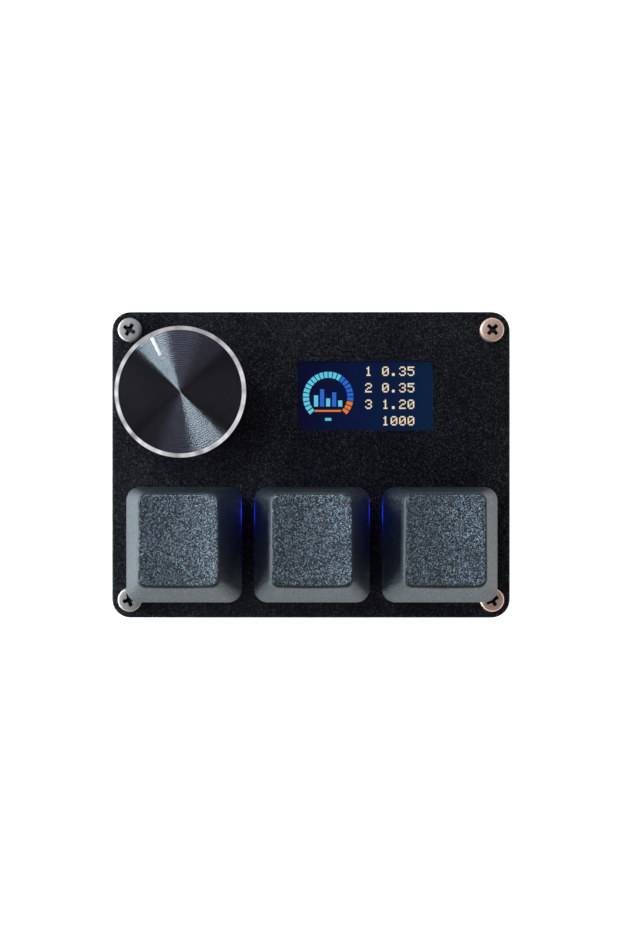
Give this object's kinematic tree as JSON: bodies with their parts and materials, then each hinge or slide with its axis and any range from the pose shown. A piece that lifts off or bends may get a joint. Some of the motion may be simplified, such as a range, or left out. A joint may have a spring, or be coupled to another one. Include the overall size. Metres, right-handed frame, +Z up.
{
  "type": "macro keypad with knob",
  "caption": "Desk macro keypad: low black case with sculpted keys in sprung switches, a knob that turns and presses, and a small colour screen.",
  "frame": {"origin": "centre of the case's outline, on the surface that its feet stand on", "axes": "+X to the user's right along the row of keys, +Y from the keys towards the knob, screen and rear socket, +Z up"},
  "size_m": [0.064, 0.0492, 0.0281],
  "materials": {
    "blasted_plate": "black anodised over a fine blasted grain, matte",
    "case_plastic": "fine moulded texture, matte black",
    "foot_rubber": "matte",
    "nickel_screw": "nickel plated, satin",
    "standoff_brass": "turned",
    "board_laminate": "black solder mask, semi-gloss",
    "led_lens": "milky lens, lit blue",
    "chip_black": "moulded epoxy, matte",
    "stainless_sheet": "rolled sheet, satin",
    "screen_glass": "polished glass over a lit colour display",
    "screen_tray": "matte",
    "black_foam": "closed-cell foam, matte",
    "flex_film": "amber film, glossy",
    "connector_plastic": "natural nylon, matte",
    "encoder_plastic": "glass-filled nylon, matte",
    "encoder_zinc": "turned, satin",
    "tinned_pin": "tinned, satin",
    "knob_anodised": "black anodised, turned face, bright diamond-cut rim",
    "knob_core": "moulded, matte",
    "pointer_white": "white paint fill, satin",
    "cap_plastic": "dark grey, fine sandy texture, matte",
    "stem_plastic": "acetal, smooth",
    "magnet_nickel": "nickel plated",
    "spring_steel": "drawn wire, plated",
    "clear_housing": "clear polycarbonate, lit blue from below",
    "housing_black": "nylon, matte"
  },
  "bodies": {
    "case": {"top_plate": "blasted_plate", "bottom_plate": "blasted_plate", "middle_frame": "case_plastic", "rubber_feet": "foot_rubber", "plate_screws": "nickel_screw", "base_screws": "nickel_screw", "standoffs": "standoff_brass", "circuit_board": "board_laminate", "key_leds": "led_lens", "hall_sensors": "chip_black", "controller_chip": "chip_black", "board_parts": "chip_black", "usb_shell": "stainless_sheet", "usb_tongue": "chip_black", "screen_panel": "screen_glass", "screen_bezel": "screen_tray", "screen_gasket": "black_foam", "screen_pad": "black_foam", "screen_flex": "flex_film", "flex_connector": "connector_plastic", "encoder_base": "encoder_plastic", "encoder_cover": "stainless_sheet", "encoder_bush": "encoder_zinc", "encoder_pins": "tinned_pin", "encoder_detent_spring": "stainless_sheet", "encoder_dome": "stainless_sheet", "key_1_spring": "spring_steel", "key_1_housing_top": "clear_housing", "key_1_housing_base": "housing_black", "key_2_spring": "spring_steel", "key_2_housing_top": "clear_housing", "key_2_housing_base": "housing_black", "key_3_spring": "spring_steel", "key_3_housing_top": "clear_housing", "key_3_housing_base": "housing_black"},
    "key_1": {"key_1_cap": "cap_plastic", "key_1_stem": "stem_plastic", "key_1_magnet": "magnet_nickel"},
    "key_2": {"key_2_cap": "cap_plastic", "key_2_stem": "stem_plastic", "key_2_magnet": "magnet_nickel"},
    "key_3": {"key_3_cap": "cap_plastic", "key_3_stem": "stem_plastic", "key_3_magnet": "magnet_nickel"},
    "knob_plunger": {"encoder_plunger": "encoder_plastic"},
    "knob": {"knob_shell": "knob_anodised", "knob_insert": "knob_core", "knob_pointer": "pointer_white", "encoder_shaft": "encoder_zinc"},
    "rotor": {"encoder_rotor": "encoder_plastic"}
  },
  "joints": [
    {"name": "key_1_press", "type": "slide", "parent": "case", "child": "key_1", "axis": [0, 0, -1], "range_m": [0, 0.0035], "stiffness_N_per_m": 80, "springref_m": -0.004, "deforming": ["key_1_spring"]},
    {"name": "key_2_press", "type": "slide", "parent": "case", "child": "key_2", "axis": [0, 0, -1], "range_m": [0, 0.0035], "stiffness_N_per_m": 80, "springref_m": -0.004, "deforming": ["key_2_spring"]},
    {"name": "key_3_press", "type": "slide", "parent": "case", "child": "key_3", "axis": [0, 0, -1], "range_m": [0, 0.0035], "stiffness_N_per_m": 80, "springref_m": -0.004, "deforming": ["key_3_spring"]},
    {"name": "knob_push", "type": "slide", "parent": "case", "child": "knob_plunger", "axis": [0, 0, -1], "range_m": [0, 0.0005], "stiffness_N_per_m": 4000, "springref_m": -0.0005, "deforming": ["encoder_dome"]},
    {"name": "knob_turn", "type": "hinge", "parent": "knob_plunger", "child": "knob", "pos_m": [-0.01985, 0.0111, 0.0188], "axis": [0, 0, 1], "continuous": true},
    {"name": "rotor_turn", "type": "hinge", "parent": "case", "child": "rotor", "pos_m": [-0.01985, 0.0111, 0.0127], "axis": [0, 0, 1], "continuous": true}
  ],
  "couplings": [
    {"joint": "rotor_turn", "follows": "knob_turn", "ratio": 1}
  ]
}
